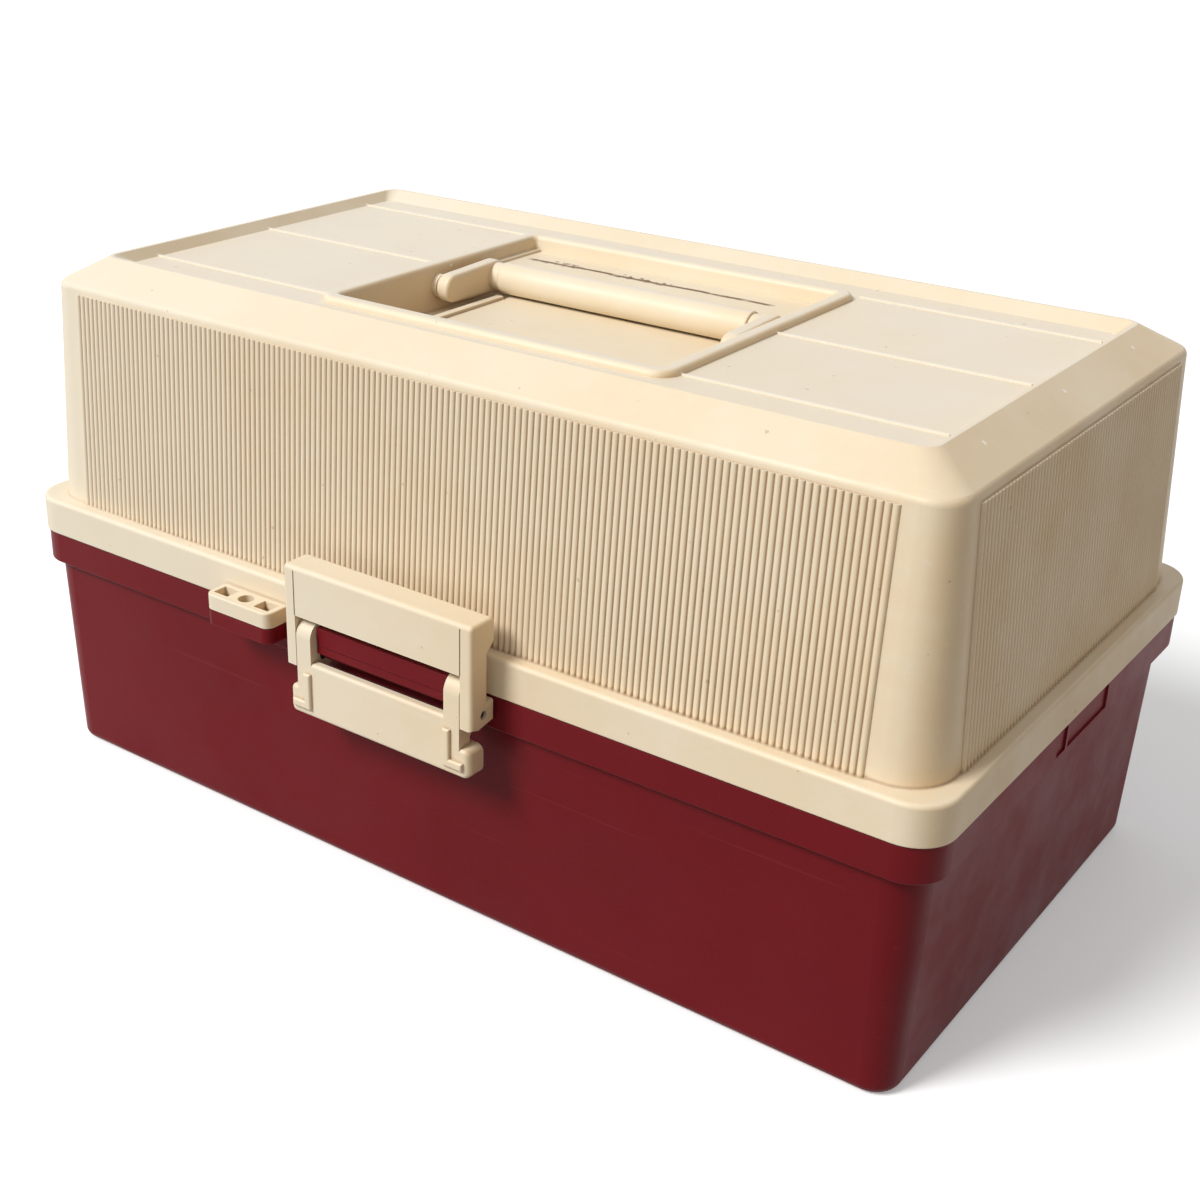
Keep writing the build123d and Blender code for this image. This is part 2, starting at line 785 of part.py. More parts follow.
with BuildPart() as grip:
    cross_rod(grip_place, grip_radius, -grip_length / 2, grip_length / 2)
    fillet(grip.edges().filter_by(GeomType.CIRCLE), grip_round)
    cross_rod(
        grip_place,
        core_radius + pin_clearance,
        -grip_length / 2 - overrun,
        grip_length / 2 + overrun,
        Mode.SUBTRACT,
    )
    block(
        (-grip_length / 2 - overrun, grip_length / 2 + overrun),
        (handle_grip_place - grip_slot_width / 2, handle_grip_place + grip_slot_width / 2),
        (handle_height - grip_radius - overrun, handle_height),
        Mode.SUBTRACT,
    )
finish(grip, "handle_grip")

with BuildPart() as handle_pins:
    for side in sides.values():
        pin_from = side * (handle_outer - handle_pin_depth)
        cross_rod(pin_place, handle_pin_radius, pin_from, side * (well_x + handle_pin_seat))
finish(handle_pins, "handle_pins")

# Latch lever: plate with ears and two arms on the keeper bar
arm_inside = latch_bar_half_length + lever_side_gap
arm_outside = arm_inside + lever_arm_width
cheek_inside = arm_outside + bail_side_gap
cheek_outside = cheek_inside + bail_cheek_width
lever_place = (lever_pivot_y, lever_pivot_height)
bail_place = (bail_pin_y, bail_pin_z)
plate_back = latch_front + lever_plate_thickness
with BuildPart() as lever:
    plate_ends = (latch_x(-1, arm_outside), latch_x(1, arm_outside))
    block(plate_ends, (latch_front, plate_back), (lever_plate_bottom, lever_plate_top))
    for side in sides.values():
        block(
            (latch_x(side, arm_inside), latch_x(side, arm_outside + lever_ear_reach)),
            (latch_front, latch_front + lever_ear_depth),
            (lever_plate_bottom, lever_ear_top),
        )
    fillet(lever.edges().filter_by(Axis.X).group_by(Axis.Y)[0], lever_plate_round)
    fillet(lever.edges().filter_by(Axis.Y).group_by(Axis.X)[0], lever_ear_round)
    fillet(lever.edges().filter_by(Axis.Y).group_by(Axis.X)[-1], lever_ear_round)
    for side in sides.values():
        rear = lever_pivot_y + lever_eye_radius
        cross_plate(
            [
                (latch_front, lever_ear_top - overrun),
                (latch_front, lever_pivot_height),
                (rear, lever_pivot_height),
                (rear, bail_pin_z - bail_pin_radius),
                (latch_front + lever_waist_depth, lever_waist_height),
                (latch_front + lever_waist_depth, lever_ear_top - overrun),
            ],
            latch_x(side, arm_inside),
            latch_x(side, arm_outside),
        )
        cross_rod(lever_place, lever_eye_radius, latch_x(side, arm_inside), latch_x(side, arm_outside))
        # Corner ridges on the plate
        ridge_low = lever_plate_bottom + ridge_margin
        ridge_span = (latch_front - ridge_rise, plate_back - lever_plate_round)
        block(
            (latch_x(side, arm_inside), latch_x(side, arm_inside + ridge_width)),
            ridge_span,
            (ridge_low, ridge_low + ridge_height),
        )
        block(
            (latch_x(side, arm_inside), latch_x(side, arm_inside + ridge_foot)),
            ridge_span,
            (ridge_low, ridge_low + ridge_width),
        )
        for place, radius in ((lever_place, lever_pin_radius), (bail_place, bail_pin_radius)):
            cross_rod(
                place,
                radius + pin_clearance,
                latch_x(side, arm_inside - overrun),
                latch_x(side, arm_outside + overrun),
                Mode.SUBTRACT,
            )
    fillet(lever.edges().group_by(Axis.Y)[0], ridge_round)
finish(lever, "latch_lever")

with BuildPart() as lever_pin:
    cross_rod(lever_place, lever_pin_radius, latch_x(-1, arm_outside), latch_x(1, arm_outside))
finish(lever_pin, "latch_lever_pin")

# Latch bail: two cheeks and a hooked panel that closes over the lid rim
nose_back = rim_front - bail_nose_gap
notch_back = nose_back - bail_notch_depth
with BuildPart() as bail:
    for side in sides.values():
        cross_plate(
            [
                (latch_front, bail_heel_bottom),
                (latch_front, bail_top),
                (nose_back, bail_top),
                (nose_back, bail_nose_bottom),
                (notch_back, bail_notch_top),
                (notch_back, bail_notch_bottom),
                (nose_back, bail_notch_bottom),
                (nose_back, bail_heel_bottom),
                (latch_front + bail_tip_depth, bail_tip_bottom),
            ],
            latch_x(side, cheek_inside),
            latch_x(side, cheek_outside),
        )
    bail_ends = (latch_x(-1, cheek_outside), latch_x(1, cheek_outside))
    panel_back = latch_front + bail_panel_thickness
    block(bail_ends, (latch_front, panel_back), (bail_panel_bottom, bail_top))
    block(bail_ends, (latch_front, nose_back), (bail_top - bail_panel_thickness, bail_top))
    block(bail_ends, (nose_back - bail_nose_thickness, nose_back), (bail_nose_bottom, bail_top))
    fillet(bail.edges().filter_by(Axis.X).group_by(Axis.Z)[-1].sort_by(Axis.Y)[-1], bail_back_round)
    fillet(bail.edges().filter_by(Axis.X).group_by(Axis.Z)[-1].sort_by(Axis.Y)[0], bail_round)
    fillet(bail.edges().group_by(Axis.X)[0], bail_edge_round)
    fillet(bail.edges().group_by(Axis.X)[-1], bail_edge_round)
    for side in sides.values():
        groove = latch_x(side, cheek_inside)
        block(
            (groove - bail_groove_width / 2, groove + bail_groove_width / 2),
            (latch_front - overrun, latch_front + bail_groove_depth),
            (bail_panel_bottom, bail_top - bail_round),
            Mode.SUBTRACT,
        )
        cross_rod(
            bail_place,
            bail_pin_radius + pin_clearance,
            latch_x(side, cheek_inside - overrun),
            latch_x(side, cheek_outside + overrun),
            Mode.SUBTRACT,
        )
finish(bail, "latch_bail")

with BuildPart() as bail_pins:
    for side in sides.values():
        pin_end = latch_x(side, cheek_outside - bail_pin_recess)
        cross_rod(bail_place, bail_pin_radius, latch_x(side, arm_inside), pin_end)
finish(bail_pins, "latch_bail_pins")

# Swinging arms, two a side, and the links that tie the rear pair to the lid
arm_sets = {"front": (arm_front_pivot, top_reach), "rear": (arm_back_pivot, arm_link_reach)}
for arm_name, (pivot_y, reach) in arm_sets.items():
    for side_name, side in sides.items():
        foot = (pivot_y, arm_pivot_height)
        tip = arm_point(pivot_y, arm_pivot_height, reach)
        with BuildPart() as arm:
            cross_strap((foot, tip), arm_width, side * arm_inner, side * arm_outer)
            bores = [(foot, pivot_rivet_radius)]
            for level in range(len(tray_names)):
                tray_reach = arm_first_reach + level * arm_reach_step
                bores.append((arm_point(pivot_y, arm_pivot_height, tray_reach), rivet_radius))
            if reach > top_reach:
                bores.append((tip, pivot_rivet_radius))
            for place, radius in bores:
                cross_rod(place, radius + pin_clearance, side * arm_inner, side * arm_outer, Mode.SUBTRACT)
        finish(arm, f"{arm_name}_arm_{side_name}")

for side_name, side in sides.items():
    with BuildPart() as link:
        cross_strap((arm_link_point, lid_link_point), link_width, side * link_inner, side * link_outer)
        for place in (arm_link_point, lid_link_point):
            bore_radius = pivot_rivet_radius + pin_clearance
            cross_rod(place, bore_radius, side * link_inner, side * link_outer, Mode.SUBTRACT)
    finish(link, f"lid_link_{side_name}")

# Rivets of the arms and links
with BuildPart() as arm_pivot_rivets:
    for side in sides.values():
        for pivot_y in (arm_front_pivot, arm_back_pivot):
            place = (pivot_y, arm_pivot_height)
            head_face = side * (arm_inner - rivet_slack)
            cross_rod(place, pivot_rivet_head_radius, head_face, head_face - side * rivet_head_length)
            shank_end = side * (arm_outer + boss_gap + boss_screw_depth)
            cross_rod(place, pivot_rivet_radius, head_face, shank_end)
finish(arm_pivot_rivets, "arm_pivot_rivets")

with BuildPart() as link_lid_rivets:
    for side in sides.values():
        head_face = side * (link_inner - rivet_slack)
        cross_rod(lid_link_point, pivot_rivet_head_radius, head_face, head_face - side * rivet_head_length)
        shank_end = side * (link_outer + boss_gap + boss_screw_depth)
        cross_rod(lid_link_point, pivot_rivet_radius, head_face, shank_end)
finish(link_lid_rivets, "link_lid_rivets")

with BuildPart() as link_arm_rivets:
    for side in sides.values():
        head_face = side * (link_outer + rivet_slack)
        cross_rod(arm_link_point, pivot_rivet_head_radius, head_face, head_face + side * rivet_head_length)
        cross_rod(arm_link_point, pivot_rivet_radius, side * arm_inner, head_face)
        cross_rod(arm_link_point, rivet_head_radius, side * arm_outer, side * (link_inner - rivet_slack))
finish(link_arm_rivets, "link_arm_rivets")

# Trays with loose dividers in moulded slots
tray_inner_x = tray_half_x - tray_wall
row_faces = (tray_row_wall_place - tray_wall / 2, tray_row_wall_place + tray_wall / 2)
tray_rows = ((tray_front + tray_wall, row_faces[0]), (row_faces[1], tray_back - tray_wall))
tray_middle = (tray_front + tray_back) / 2


def divider_places(cells):
    """Places along X of the dividers that part one row into equal cells."""
    return [-tray_inner_x + 2 * tray_inner_x * number / cells for number in range(1, cells)]


for level, tray_name in enumerate(tray_names):
    bottom = tray_lowest + level * tray_step
    floor = bottom + tray_wall
    rows = list(zip(tray_rows, (tray_front_cells[level], tray_back_cells[level])))
    with BuildPart() as tray:
        with BuildSketch(Plane.XY.offset(bottom)) as outline:
            with Locations((0, tray_middle)):
                RectangleRounded(2 * tray_half_x, tray_back - tray_front, tray_corner)
        extrude(outline.sketch, amount=tray_height)
        with BuildSketch(Plane.XY.offset(floor)) as hollow:
            with Locations((0, tray_middle)):
                RectangleRounded(
                    2 * tray_inner_x,
                    tray_back - tray_front - 2 * tray_wall,
                    tray_corner - tray_wall,
                )
        extrude(hollow.sketch, amount=tray_height, mode=Mode.SUBTRACT)
        block((-tray_inner_x, tray_inner_x), row_faces, (bottom, floor + tray_row_wall_height))
        for (row_front, row_back), cells in rows:
            for divider_x in divider_places(cells):
                slot_half = divider_thickness / 2 + divider_slack
                for side in sides.values():
                    rib_x = (divider_x + side * slot_half, divider_x + side * (slot_half + slot_rib_width))
                    block(rib_x, (row_front, row_front + slot_rib_rise), (bottom, floor + divider_height))
                    block(rib_x, (row_back - slot_rib_rise, row_back), (bottom, floor + divider_height))
        for place in tray_pivots(level):
            cross_rod(place, rivet_radius + pin_clearance, -tray_half_x, tray_half_x, Mode.SUBTRACT)
    finish(tray, f"tray_{tray_name}")

    with BuildPart() as dividers:
        for (row_front, row_back), cells in rows:
            for divider_x in divider_places(cells):
                block(
                    (divider_x - divider_thickness / 2, divider_x + divider_thickness / 2),
                    (row_front + divider_slack, row_back - divider_slack),
                    (floor, floor + divider_height),
                )
    finish(dividers, f"tray_{tray_name}_dividers")

    with BuildPart() as rivets:
        for place in tray_pivots(level):
            for side in sides.values():
                inner_face = side * (tray_inner_x - rivet_slack)
                outer_face = side * (arm_outer + rivet_slack)
                cross_rod(place, rivet_head_radius, inner_face, inner_face - side * rivet_head_length)
                cross_rod(place, rivet_radius, inner_face, outer_face)
                cross_rod(place, rivet_head_radius, outer_face, outer_face + side * rivet_head_length)
    finish(rivets, f"tray_{tray_name}_rivets")
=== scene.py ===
"""Looks of the three-tray tackle box: aged cream lid, maroon tub, cream trays, steel."""

import json
import math

import bpy
from mathutils import Matrix, Vector

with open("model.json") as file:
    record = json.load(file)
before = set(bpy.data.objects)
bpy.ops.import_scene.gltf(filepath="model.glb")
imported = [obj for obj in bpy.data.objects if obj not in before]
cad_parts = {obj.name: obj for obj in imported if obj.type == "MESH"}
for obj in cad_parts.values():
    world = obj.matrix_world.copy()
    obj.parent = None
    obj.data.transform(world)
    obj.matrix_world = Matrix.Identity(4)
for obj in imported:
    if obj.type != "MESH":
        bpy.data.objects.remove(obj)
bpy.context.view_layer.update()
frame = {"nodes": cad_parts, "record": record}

nodes = frame["nodes"]
scene = bpy.context.scene

# Camera of the photograph, in pixels of its frame and in metres of the model
PHOTO_SIZE = 1200
FOCAL_PIXELS = 1733.4
AXIS_PIXEL = (519.6, 593.7)
CAMERA_PLACE = Vector((0.39418, -0.57893, 0.41354))
CAMERA_RIGHT = Vector((0.7977, 0.6029, 0.0148))
CAMERA_FORWARD = Vector((-0.54317, 0.72895, -0.41664))
SENSOR_WIDTH = 36.0
CLIP_START = 0.01

# Colours, linear
WHITE = (1, 1, 1, 1)
CREAM = (0.82, 0.70, 0.515)
CREAM_YELLOWED = (0.80, 0.64, 0.43)
CREAM_PALE = (0.84, 0.76, 0.61)
# Painted highlight of the thin raised lines on the plateau
CREAM_LINE_HIGHLIGHT = (0.91, 0.84, 0.72)
CREAM_DUSTY = (0.79, 0.71, 0.59)
# Handling dirt and painted shade on the end walls
CREAM_HANDLED_AND_SHADE = (0.63, 0.42, 0.20)
# Dirt and painted shade in the grooves
CREAM_GROOVE = (0.36, 0.20, 0.078)
# Grime in specks, and grime with painted shade in corners
CREAM_GRIME_AND_SHADE = (0.26, 0.15, 0.07)
SHELF_STAIN = (0.15, 0.068, 0.028)
MAROON = (0.168, 0.0075, 0.0115)
MAROON_DEEP = (0.136, 0.0058, 0.0085)
# Scuffs and scratches, and rubbed edges with painted highlight
MAROON_SCUFF_AND_HIGHLIGHT = (0.27, 0.045, 0.050)
# Grime and painted shade in the tub's corners
MAROON_GRIME_AND_SHADE = (0.030, 0.006, 0.006)
TRAY = (0.80, 0.70, 0.53)
TRAY_YELLOWED = (0.74, 0.62, 0.42)
STEEL = (0.56, 0.55, 0.52)
STEEL_DULL = (0.38, 0.36, 0.32)
# Painted shade: near-black for the bail's recessed pins
STEEL_SHADE_BLACK = (0.020, 0.018, 0.016)
RUST = (0.16, 0.06, 0.02)
FLOOR = (0.93, 0.93, 0.93)
FLOOR_BOUNCE = (0.34, 0.34, 0.34)

# Light and floor
FLOOR_GLOW = 0.24
FLOOR_ROUGHNESS = 0.95
FLOOR_REACH = 6.0
WORLD_LIGHT = 0.40
KEY_DIRECTION = (0.34, 0.63, -0.69)
KEY_STRENGTH = 2.77
KEY_SOFTNESS = 22

# Places on the lid, in metres: X along it, Y across it, Z up
# Painted sheen: length over which the cream turns paler toward the left end
SHEEN_LENGTH = (-0.24, 0.12)
# Painted shade: length over which the groove darkening grows toward the right
GROOVE_SHADE_LENGTH = (-0.24, 0.10)
GROOVE_TOP = (0.2180, 0.2220)
DUST_BOTTOM = (0.2245, 0.2270)
OUTER_LINES = (0.0684, 0.0696)
MIDDLE_LINE = (-0.001, 0.0006)
LINE_FADE = 0.0002
LINE_HEIGHTS = (0.22815, 0.2289)
LINE_HEIGHT_FADE = 0.0001
SHELF_HEIGHTS = (0.2232, 0.2250)
SHELF_FADE = 0.0002
STAIN_LENGTH = (-0.066, 0.052)
STAIN_LENGTH_FADE = 0.006
STAIN_LINE = (0.0470, 0.0489)
STAIN_LINE_FADE = 0.0006
STAIN_WANDER = 0.003
BLOTCH_LENGTHS = ((-0.066, -0.045), (-0.022, 0.002))
BLOTCH_LENGTH_FADE = 0.005
BLOTCH_WIDTH = (0.0465, 0.0505)
BLOTCH_WIDTH_FADE = 0.0018

# Shares of the normal along an axis, between which a face begins to count
FLAT_TOP = (0.90, 0.99)
END_WALL = (0.22, 0.85)

# Reach of dirt, painted shade and wear, and depth of the surface's grain and waves, in metres
GROOVE_REACH = 0.0022
CORNER_REACH = 0.007
TUB_CORNER_REACH = 0.006
CREAM_EDGE = 0.0010
MAROON_EDGE = 0.0012
GRAIN_DEPTH = 0.00005
WAVE_DEPTH = 0.0003
METAL_GRAIN_DEPTH = 0.00003
CREASE_SAMPLES = 8
EDGE_SAMPLES = 4


class Shader:
    """A material's node tree, with short calls to add and join nodes."""

    def __init__(self, name):
        self.material = bpy.data.materials.new(name)
        self.material.use_nodes = True
        self.tree = self.material.node_tree
        self.surface = self.tree.nodes["Principled BSDF"]
        self.place = self.add("ShaderNodeTexCoord").outputs["Object"]

    def add(self, kind, settings=None, **inputs):
        """Adds a node. Inputs are values or sockets, by name with _ for space."""
        made = self.tree.nodes.new(kind)
        for key, value in (settings or {}).items():
            setattr(made, key, value)
        for key, value in inputs.items():
            self.put(made.inputs[key.replace("_", " ")], value)
        return made

    def put(self, socket, value):
        """Sets a socket to a value, or links it to another socket."""
        if isinstance(value, bpy.types.NodeSocket):
            self.tree.links.new(value, socket)
        elif isinstance(value, tuple) and len(value) == 3 and socket.type == "RGBA":
            socket.default_value = (*value, 1.0)
        else:
            socket.default_value = value

    def position(self):
        """Place along, across and up the piece, in its own axes."""
        split = self.add("ShaderNodeSeparateXYZ", Vector=self.place)
        return (split.outputs[axis] for axis in "XYZ")

    def noise(self, scale, detail=3.0, roughness=0.55, stretch=None):
        """Noise value at a scale per metre, stretched by a factor along each axis."""
        place = self.place
        if stretch:
            mapping = self.add("ShaderNodeMapping", Vector=place, Scale=stretch)
            place = mapping.outputs["Vector"]
        made = self.add(
            "ShaderNodeTexNoise", Vector=place, Scale=scale, Detail=detail, Roughness=roughness
        )
        return made.outputs["Fac"]

    def ramp(self, value, limits, results=(0.0, 1.0)):
        """Value brought from between two limits to between two results, clamped and smooth."""
        settings = {"interpolation_type": "SMOOTHSTEP"}
        made = self.add(
            "ShaderNodeMapRange",
            settings,
            Value=value,
            From_Min=limits[0],
            From_Max=limits[1],
            To_Min=results[0],
            To_Max=results[1],
        )
        return made.outputs["Result"]

    def cloud(self, limits, results=(0.0, 1.0), **noise):
        """Patches: noise brought to between two results."""
        return self.ramp(self.noise(**noise), limits, results)

    def math(self, operation, first, second=0.0):
        """Result of one operation on two values."""
        made = self.add("ShaderNodeMath", {"operation": operation})
        self.put(made.inputs[0], first)
        self.put(made.inputs[1], second)
        return made.outputs["Value"]

    def times(self, first, *others):
        """Product of the values."""
        product = first
        for other in others:
            product = self.math("MULTIPLY", product, other)
        return product

    def mix(self, factor, first, second):
        """Colour between two colours."""
        made = self.add("ShaderNodeMix", {"data_type": "RGBA"})
        self.put(made.inputs["Factor"], factor)
        self.put(made.inputs[6], first)
        self.put(made.inputs[7], second)
        return made.outputs[2]

    def creases(self, distance):
        """1 deep in creases and corners, 0 in the open."""
        settings = {"samples": CREASE_SAMPLES, "only_local": True}
        made = self.add("ShaderNodeAmbientOcclusion", settings, Distance=distance)
        return self.math("SUBTRACT", 1.0, made.outputs["AO"])

    def facing(self, axis):
        """Share of the normal along X, Y or Z, in the piece's own axes."""
        normal = self.add("ShaderNodeTexCoord").outputs["Normal"]
        return self.add("ShaderNodeSeparateXYZ", Vector=normal).outputs[axis]

    def facing_ends(self, limits):
        """1 on faces that look along the piece's length, 0 on the others."""
        return self.ramp(self.math("ABSOLUTE", self.facing("X")), limits)

    def band(self, value, limits, fade):
        """1 where a value lies between two limits, faded out beyond them."""
        low, high = limits
        rise = self.ramp(value, (low - fade, low))
        fall = self.ramp(value, (high, high + fade), (1.0, 0.0))
        return self.times(rise, fall)

    def edges(self, radius):
        """1 on outer edges, 0 on flats."""
        rounded = self.add("ShaderNodeBevel", {"samples": EDGE_SAMPLES}, Radius=radius)
        plain = self.add("ShaderNodeNewGeometry").outputs["Normal"]
        dot = self.add("ShaderNodeVectorMath", {"operation": "DOT_PRODUCT"})
        self.put(dot.inputs[0], rounded.outputs["Normal"])
        self.put(dot.inputs[1], plain)
        return self.math("SUBTRACT", 1.0, dot.outputs["Value"])

    def bump(self, *layers):
        """Stacks (height, distance) layers into the surface's normal."""
        normal = None
        for height, distance in layers:
            made = self.add("ShaderNodeBump", Height=height, Distance=distance)
            if normal is not None:
                self.put(made.inputs["Normal"], normal)
            normal = made.outputs["Normal"]
        self.put(self.surface.inputs["Normal"], normal)

    def finish(self, color, roughness, **constants):
        """Joins colour and roughness to the surface, sets its constants and returns it."""
        self.put(self.surface.inputs["Base Color"], color)
        self.put(self.surface.inputs["Roughness"], roughness)
        for key, value in constants.items():
            self.surface.inputs[key.replace("_", " ")].default_value = value
        return self.material


def aged_cream(name, fresh, yellowed, scratches_share, gloss, stained=False):
    """Old cream plastic, uneven in colour, with dirt and painted shade in its grooves and
    corners, and rubbed edges.
    """
    shader = Shader(name)
    color = shader.mix(shader.cloud(scale=9.0, detail=4.0, limits=(0.35, 0.72)), fresh, yellowed)
    mottle = shader.cloud(
        scale=70.0, detail=5.0, roughness=0.65, limits=(0.45, 0.75), results=(0.0, 0.30)
    )
    color = shader.mix(mottle, color, CREAM_PALE)
    color = cream_zones(shader, color)
    scratches = shader.cloud(
        scale=90.0,
        detail=2.0,
        roughness=0.4,
        stretch=(0.12, 5.0, 3.0),
        limits=(0.68, 0.76),
        results=(0.0, scratches_share),
    )
    color = shader.mix(scratches, color, CREAM_PALE)
    color = cream_dirt_and_shade(shader, color)
    edge_lightening = shader.ramp(shader.edges(CREAM_EDGE), (0.02, 0.25), (0.0, 0.75))
    color = shader.mix(edge_lightening, color, CREAM_PALE)
    specks = shader.cloud(
        scale=300.0, detail=1.0, roughness=0.4, limits=(0.785, 0.81), results=(0.0, 0.35)
    )
    color = shader.mix(specks, color, CREAM_GRIME_AND_SHADE)
    if stained:
        color = shader.mix(shelf_stain(shader), color, SHELF_STAIN)
    rough = shader.cloud(
        scale=38.0, detail=5.0, roughness=0.6, limits=(0.3, 0.75), results=(gloss, gloss + 0.14)
    )
    grain = shader.noise(scale=1700.0, detail=2.0)
    waves = shader.noise(scale=24.0, detail=2.0)
    shader.bump((grain, GRAIN_DEPTH), (waves, WAVE_DEPTH))
    return shader.finish(color, rough, Specular_IOR_Level=0.40)


def cream_zones(shader, color):
    """Painted sheen paler toward the left end, dusty top, and handling dirt with painted shade on
    the end walls.
    """
    along, across, height = shader.position()
    # Painted sheen: the cream is painted paler toward the left end
    color = shader.mix(shader.ramp(along, SHEEN_LENGTH, (0.70, 0.0)), color, CREAM_PALE)
    dust = shader.times(
        shader.ramp(shader.facing("Z"), FLAT_TOP),
        shader.ramp(height, DUST_BOTTOM),
        shader.cloud(scale=16.0, detail=4.0, limits=(0.25, 0.7), results=(0.35, 0.8)),
    )
    color = shader.mix(dust, color, CREAM_DUSTY)
    # Handling dirt and painted shade: the walls facing along the lid are darkened, standing in
    # for the shade of the side away from the light
    handled_and_shade = shader.times(
        shader.facing_ends(END_WALL),
        shader.cloud(scale=14.0, detail=4.0, limits=(0.25, 0.75), results=(0.34, 0.70)),
    )
    return shader.mix(handled_and_shade, color, CREAM_HANDLED_AND_SHADE)


def cream_dirt_and_shade(shader, color):
    """Brown dirt and painted shade in the grooves, darker to the right, and grime and painted
    shade in the corners.
    """
    along, across, height = shader.position()
    # Dirt and painted shade in the grooves: darkened where they are deep, and more toward the
    # right, away from the light
    groove = shader.times(
        shader.ramp(shader.creases(GROOVE_REACH), (0.16, 0.50), (0.0, 0.95)),
        shader.cloud(scale=30.0, detail=4.0, limits=(0.25, 0.7), results=(0.70, 1.0)),
        shader.ramp(height, GROOVE_TOP, (1.0, 0.15)),
        shader.ramp(along, GROOVE_SHADE_LENGTH, (0.45, 1.0)),
    )
    color = shader.mix(groove, color, CREAM_GROOVE)
    # Painted highlight: the thin raised lines on the plateau are painted pale
    color = shader.mix(plateau_lines(shader, across, height), color, CREAM_LINE_HIGHLIGHT)
    # Grime and painted shade in the corners: darkened where creases are deep
    corner = shader.times(
        shader.ramp(shader.creases(CORNER_REACH), (0.45, 0.95), (0.0, 0.55)),
        shader.cloud(scale=45.0, detail=4.0, limits=(0.3, 0.75), results=(0.15, 1.0)),
    )
    return shader.mix(corner, color, CREAM_GRIME_AND_SHADE)


def plateau_lines(shader, across, height):
    """1 on the three thin raised lines across the lid's plateau, 0 elsewhere."""
    from_middle = shader.math("ABSOLUTE", across)
    outer_lines = shader.band(from_middle, OUTER_LINES, LINE_FADE)
    middle_line = shader.band(from_middle, MIDDLE_LINE, LINE_FADE)
    on_top = shader.band(height, LINE_HEIGHTS, LINE_HEIGHT_FADE)
    return shader.times(shader.math("MAXIMUM", outer_lines, middle_line), on_top)


def shelf_stain(shader):
    """1 on the line of old dirt along the shelf behind the grip, blotched at the left."""
    along, across, height = shader.position()
    off_middle = shader.math("SUBTRACT", shader.noise(scale=55.0, detail=3.0), 0.5)
    wandering = shader.math("ADD", across, shader.times(off_middle, STAIN_WANDER))
    line = shader.times(
        shader.band(wandering, STAIN_LINE, STAIN_LINE_FADE),
        shader.band(along, STAIN_LENGTH, STAIN_LENGTH_FADE),
        shader.cloud(scale=130.0, limits=(0.30, 0.46), results=(0.55, 0.97)),
    )
    left, middle = (shader.band(along, ends, BLOTCH_LENGTH_FADE) for ends in BLOTCH_LENGTHS)
    blotches = shader.times(
        shader.math("MAXIMUM", left, middle),
        shader.band(across, BLOTCH_WIDTH, BLOTCH_WIDTH_FADE),
        shader.cloud(scale=260.0, limits=(0.50, 0.60)),
    )
    on_shelf = shader.band(height, SHELF_HEIGHTS, SHELF_FADE)
    return shader.times(shader.math("MAXIMUM", line, blotches), on_shelf)


def maroon_plastic(name):
    """Deep maroon plastic: even colour, faint scuffs and scratches, rubbed edges with a painted
    highlight, grime and painted shade in the corners, low gloss.
    """
    shader = Shader(name)
    color = shader.mix(shader.cloud(scale=6.0, limits=(0.3, 0.75)), MAROON, MAROON_DEEP)
    scuffs = shader.cloud(
        scale=60.0,
        detail=5.0,
        roughness=0.7,
        stretch=(0.4, 1.0, 1.6),
        limits=(0.66, 0.80),
        results=(0.0, 0.16),
    )
    color = shader.mix(scuffs, color, MAROON_SCUFF_AND_HIGHLIGHT)
    scratches = shader.cloud(
        scale=80.0,
        detail=2.0,
        roughness=0.4,
        stretch=(0.10, 4.0, 5.0),
        limits=(0.70, 0.77),
        results=(0.0, 0.14),
    )
    color = shader.mix(scratches, color, MAROON_SCUFF_AND_HIGHLIGHT)
    # Rubbed edges and painted highlight: the tub's edges are painted lighter
    edge_lightening = shader.ramp(shader.edges(MAROON_EDGE), (0.03, 0.3), (0.0, 0.45))
    color = shader.mix(edge_lightening, color, MAROON_SCUFF_AND_HIGHLIGHT)
    # Grime and painted shade in the tub's corners: darkened where creases are deep
    dirt_and_shade = shader.times(
        shader.ramp(shader.creases(TUB_CORNER_REACH), (0.35, 0.95), (0.0, 0.7)),
        shader.cloud(scale=45.0, detail=4.0, limits=(0.3, 0.75), results=(0.25, 1.0)),
    )
    color = shader.mix(dirt_and_shade, color, MAROON_GRIME_AND_SHADE)
    rough = shader.cloud(
        scale=30.0, detail=5.0, roughness=0.6, limits=(0.3, 0.75), results=(0.36, 0.50)
    )
    grain = shader.noise(scale=1500.0, detail=2.0)
    waves = shader.noise(scale=20.0, detail=2.0)
    shader.bump((grain, GRAIN_DEPTH), (waves, WAVE_DEPTH))
    return shader.finish(color, rough, Specular_IOR_Level=0.10)


def shade_black_steel(name):
    """Near-black steel of the bail's recessed pins, a painted shade for the dark of their holes,
    with spots of rust.
    """
    shader = Shader(name)
    rusty = shader.cloud(
        scale=300.0, detail=4.0, roughness=0.6, limits=(0.4, 0.75), results=(0.0, 0.5)
    )
    # Painted shade: the pins are near-black, with spots of rust
    color = shader.mix(rusty, STEEL_SHADE_BLACK, RUST)
    rough = shader.cloud(scale=500.0, limits=(0.3, 0.7), results=(0.5, 0.7))
    shader.bump((shader.noise(scale=1200.0, detail=2.0), METAL_GRAIN_DEPTH))
    return shader.finish(color, rough, Specular_IOR_Level=0.2)


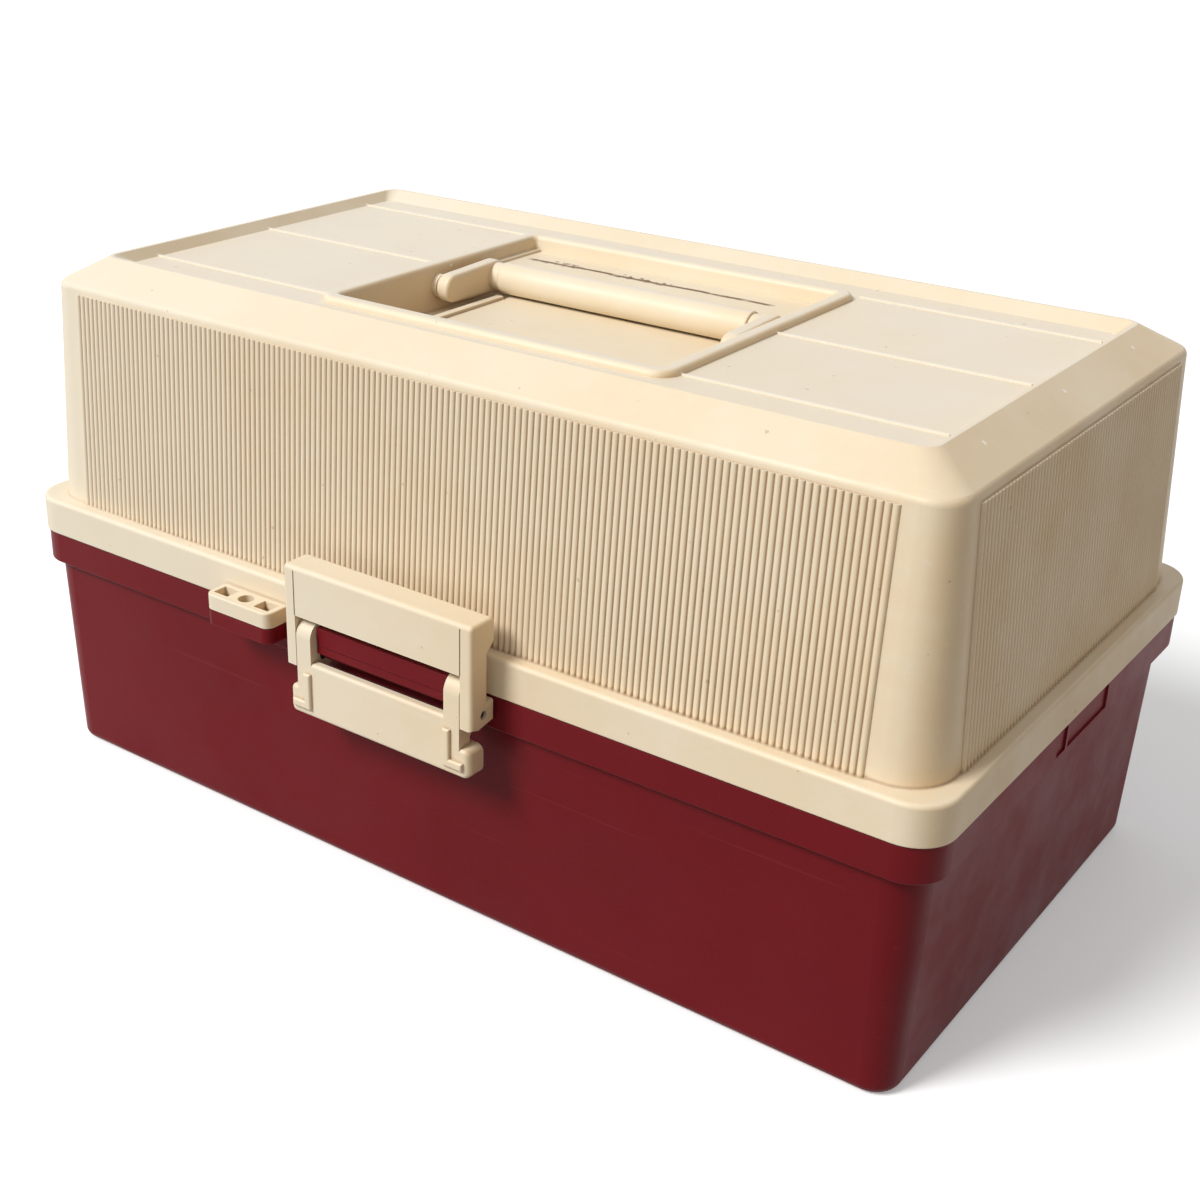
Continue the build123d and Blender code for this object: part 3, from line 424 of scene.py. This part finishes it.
def zinc_steel(name):
    """Zinc-plated steel strip and rivets, dulled, with a little rust."""
    shader = Shader(name)
    dull = shader.cloud(scale=160.0, detail=5.0, roughness=0.6, limits=(0.35, 0.7))
    color = shader.mix(dull, STEEL, STEEL_DULL)
    rusty = shader.cloud(scale=120.0, detail=6.0, roughness=0.7, limits=(0.58, 0.72))
    color = shader.mix(shader.times(rusty, 0.6), color, RUST)
    brushed = shader.noise(scale=900.0, detail=2.0, roughness=0.5, stretch=(1.0, 0.08, 1.0))
    rough = shader.ramp(brushed, (0.3, 0.7), (0.28, 0.48))
    shader.bump((brushed, METAL_GRAIN_DEPTH))
    return shader.finish(color, rough, Metallic=0.92)


def dress(name, material):
    """Gives a CAD node one material."""
    mesh = nodes[name].data
    mesh.materials.clear()
    mesh.materials.append(material)


def dress_nodes():
    """Gives every CAD node the finish of its slot, and the bail's pins their own."""
    finishes = {
        "lid_cream": aged_cream(
            "cream_plastic", CREAM, CREAM_YELLOWED, scratches_share=0.22, gloss=0.40, stained=True
        ),
        "tub_maroon": maroon_plastic("maroon_plastic"),
        "tray_cream": aged_cream(
            "tray_plastic", TRAY, TRAY_YELLOWED, scratches_share=0.30, gloss=0.44
        ),
        "steel": zinc_steel("zinc_steel"),
    }
    for part in frame["record"]["subparts"]:
        dress(part["node"], finishes[part["material_slot"]])
    dress("latch_bail_pins", shade_black_steel("shade_black_steel"))


def add_camera():
    """Camera of the photograph."""
    data = bpy.data.cameras.new("camera")
    data.sensor_width = SENSOR_WIDTH
    data.lens = SENSOR_WIDTH * FOCAL_PIXELS / PHOTO_SIZE
    data.shift_x = (PHOTO_SIZE / 2 - AXIS_PIXEL[0]) / PHOTO_SIZE
    data.shift_y = (AXIS_PIXEL[1] - PHOTO_SIZE / 2) / PHOTO_SIZE
    data.clip_start = CLIP_START
    camera = bpy.data.objects.new("camera", data)
    back = -CAMERA_FORWARD.normalized()
    right = (CAMERA_RIGHT - back * CAMERA_RIGHT.dot(back)).normalized()
    axes = Matrix((right, back.cross(right), back)).transposed()
    camera.matrix_world = Matrix.Translation(CAMERA_PLACE) @ axes.to_4x4()
    scene.collection.objects.link(camera)
    scene.camera = camera


def add_sun(name, direction, strength, softness):
    """Sun that shines along a direction, softened over an angle in degrees."""
    data = bpy.data.lights.new(name, "SUN")
    data.energy = strength
    data.angle = math.radians(softness)
    lamp = bpy.data.objects.new(name, data)
    lamp.rotation_euler = Vector(direction).to_track_quat("-Z", "Y").to_euler()
    scene.collection.objects.link(lamp)


def largest(tree, first, second):
    """Larger of two values in a node tree."""
    made = tree.nodes.new("ShaderNodeMath")
    made.operation = "MAXIMUM"
    tree.links.new(first, made.inputs[0])
    tree.links.new(second, made.inputs[1])
    return made.outputs[0]


def seen_directly(tree):
    """1 for rays from the camera and for reflections, 0 for light that bounces on."""
    rays = tree.nodes.new("ShaderNodeLightPath").outputs
    reflected = largest(tree, rays["Is Glossy Ray"], rays["Is Transmission Ray"])
    return largest(tree, rays["Is Camera Ray"], reflected)


def floor_paper():
    """White paper that keeps shadows and throws little light back on the object."""
    shader = Shader("floor_paper")
    seen = seen_directly(shader.tree)
    glow = shader.ramp(seen, (0.0, 1.0), (0.0, FLOOR_GLOW))
    shader.put(shader.surface.inputs["Emission Strength"], glow)
    shader.surface.inputs["Emission Color"].default_value = WHITE
    color = shader.mix(seen, FLOOR_BOUNCE, FLOOR)
    return shader.finish(color, FLOOR_ROUGHNESS, Specular_IOR_Level=0.0)


def add_floor():
    """Plain pale floor under the object."""
    near, far = -FLOOR_REACH, FLOOR_REACH
    corners = [(near, near, 0), (far, near, 0), (far, far, 0), (near, far, 0)]
    mesh = bpy.data.meshes.new("floor")
    mesh.from_pydata(corners, [], [(0, 1, 2, 3)])
    mesh.materials.append(floor_paper())
    floor = bpy.data.objects.new("floor", mesh)
    scene.collection.objects.link(floor)


def add_light():
    """White surroundings and one soft light from the front left."""
    world = bpy.data.worlds.new("studio")
    scene.world = world
    world.use_nodes = True
    tree = world.node_tree
    strength = tree.nodes.new("ShaderNodeMapRange")
    strength.inputs["To Min"].default_value = WORLD_LIGHT
    strength.inputs["To Max"].default_value = 1.0
    tree.links.new(seen_directly(tree), strength.inputs["Value"])
    background = tree.nodes["Background"]
    tree.links.new(strength.outputs["Result"], background.inputs["Strength"])
    background.inputs["Color"].default_value = WHITE
    add_sun("key", KEY_DIRECTION, KEY_STRENGTH, KEY_SOFTNESS)


dress_nodes()
add_camera()
add_floor()
add_light()
scene.view_settings.view_transform = "Standard"
